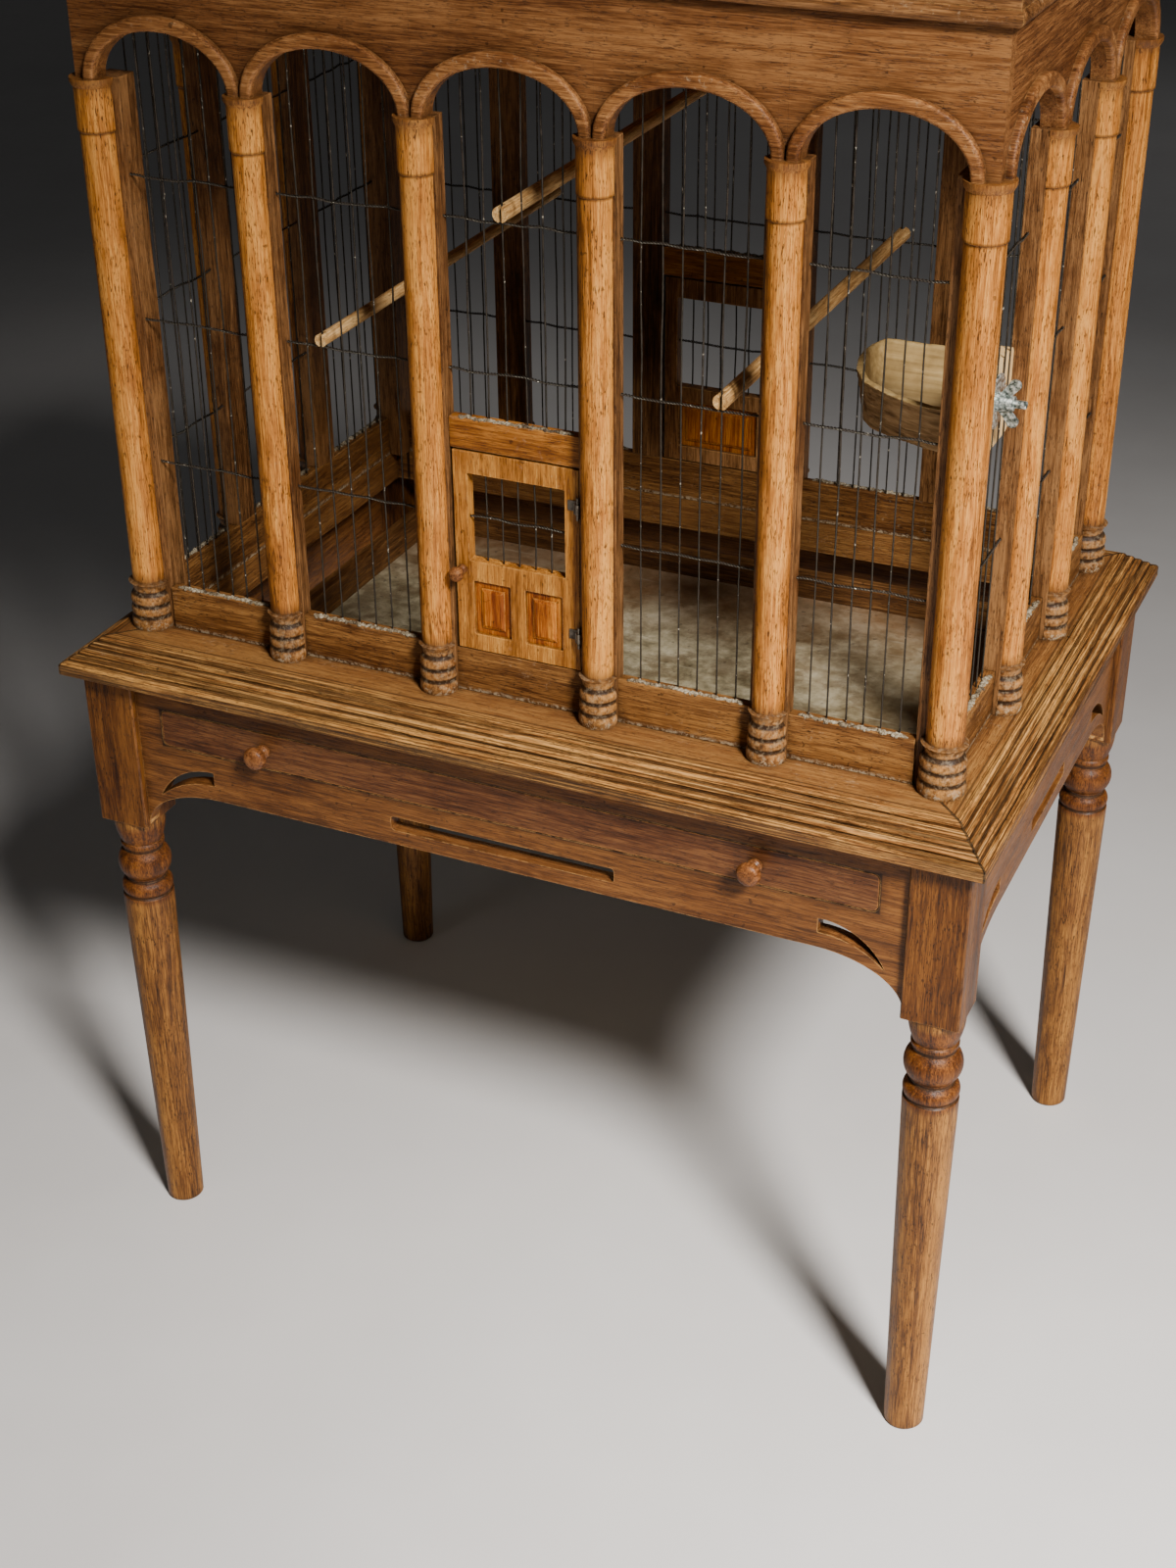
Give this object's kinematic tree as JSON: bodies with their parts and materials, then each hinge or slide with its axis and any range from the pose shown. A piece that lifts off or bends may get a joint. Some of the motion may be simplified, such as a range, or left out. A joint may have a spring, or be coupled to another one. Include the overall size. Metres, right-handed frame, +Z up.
{
  "type": "bird cage on stand",
  "caption": "Wooden arcaded bird cage on a four-legged stand, with a pull-out tray, two hinged doors, perches and a seed cup.",
  "frame": {"origin": "on the floor under the middle of the cage", "axes": "+Z up, +X to the cage's right seen from the front, -Y out of the drawer side"},
  "size_m": [0.802, 0.558, 1.202],
  "materials": {
    "table_wood": "matt",
    "leg_wood": "satin",
    "drawer_wood": "satin",
    "column_wood": "satin",
    "post_wood": "matt",
    "frieze_wood": "satin",
    "door_wood": "satin",
    "panel_wood": "satin",
    "pale_wood": "matt",
    "bark_wood": "matt",
    "steel_wire": "dull",
    "zinc_sheet": "dull",
    "zinc_fitting": "satin"
  },
  "bodies": {
    "stand_and_cage": {"leg_front_left": "leg_wood", "leg_front_right": "leg_wood", "leg_back_left": "leg_wood", "leg_back_right": "leg_wood", "apron_front": "leg_wood", "apron_back": "leg_wood", "apron_left": "leg_wood", "apron_right": "leg_wood", "table_moulding_front": "table_wood", "base_rail_front": "post_wood", "frieze_front": "frieze_wood", "wires_front": "steel_wire", "table_moulding_back": "table_wood", "base_rail_back": "post_wood", "frieze_back": "frieze_wood", "wires_back": "steel_wire", "table_moulding_left": "table_wood", "base_rail_left": "post_wood", "frieze_left": "frieze_wood", "wires_left": "steel_wire", "table_moulding_right": "table_wood", "base_rail_right": "post_wood", "frieze_right": "frieze_wood", "wires_right": "steel_wire", "drawer_runners": "post_wood", "posts_front_and_back": "post_wood", "posts_left_and_right": "post_wood", "posts_corner": "post_wood", "columns_front_and_back": "column_wood", "columns_left_and_right": "column_wood", "columns_corner": "column_wood", "arch_beads": "frieze_wood", "cornice": "frieze_wood", "roof_board": "frieze_wood", "door_head_rails": "door_wood", "door_hinge_pins": "steel_wire", "perch_left": "pale_wood", "perch_middle": "pale_wood", "perch_right": "pale_wood", "feeder_cup": "bark_wood", "feeder_board": "pale_wood", "feeder_bolt": "zinc_fitting", "feeder_washer": "zinc_fitting"},
    "drawer": {"drawer_front": "drawer_wood", "drawer_sides": "drawer_wood", "drawer_back": "drawer_wood", "drawer_tray": "zinc_sheet", "drawer_knobs": "pale_wood"},
    "front_door": {"front_door_frame": "door_wood", "front_door_panels": "panel_wood", "front_door_wires": "steel_wire", "front_door_eyes": "steel_wire", "front_door_knob": "pale_wood"},
    "back_door": {"back_door_frame": "door_wood", "back_door_panels": "panel_wood", "back_door_wires": "steel_wire", "back_door_eyes": "steel_wire", "back_door_knob": "pale_wood"},
    "wing_nut": {"feeder_wing_nut": "zinc_fitting"}
  },
  "joints": [
    {"name": "drawer_slide", "type": "slide", "parent": "stand_and_cage", "child": "drawer", "axis": [0, -1, 0], "range_m": [0, 0.33]},
    {"name": "front_door_hinge", "type": "hinge", "parent": "stand_and_cage", "child": "front_door", "pos_m": [0.0544, -0.2204, 0.733], "axis": [0, 0, 1], "range_deg": [0, 110]},
    {"name": "back_door_hinge", "type": "hinge", "parent": "stand_and_cage", "child": "back_door", "pos_m": [-0.0544, 0.2204, 0.736], "axis": [0, 0, 1], "range_deg": [0, 110]},
    {"name": "wing_nut_turn", "type": "hinge", "parent": "stand_and_cage", "child": "wing_nut", "pos_m": [0.351, -0.13775, 0.889], "axis": [1, 0, 0], "continuous": true}
  ]
}
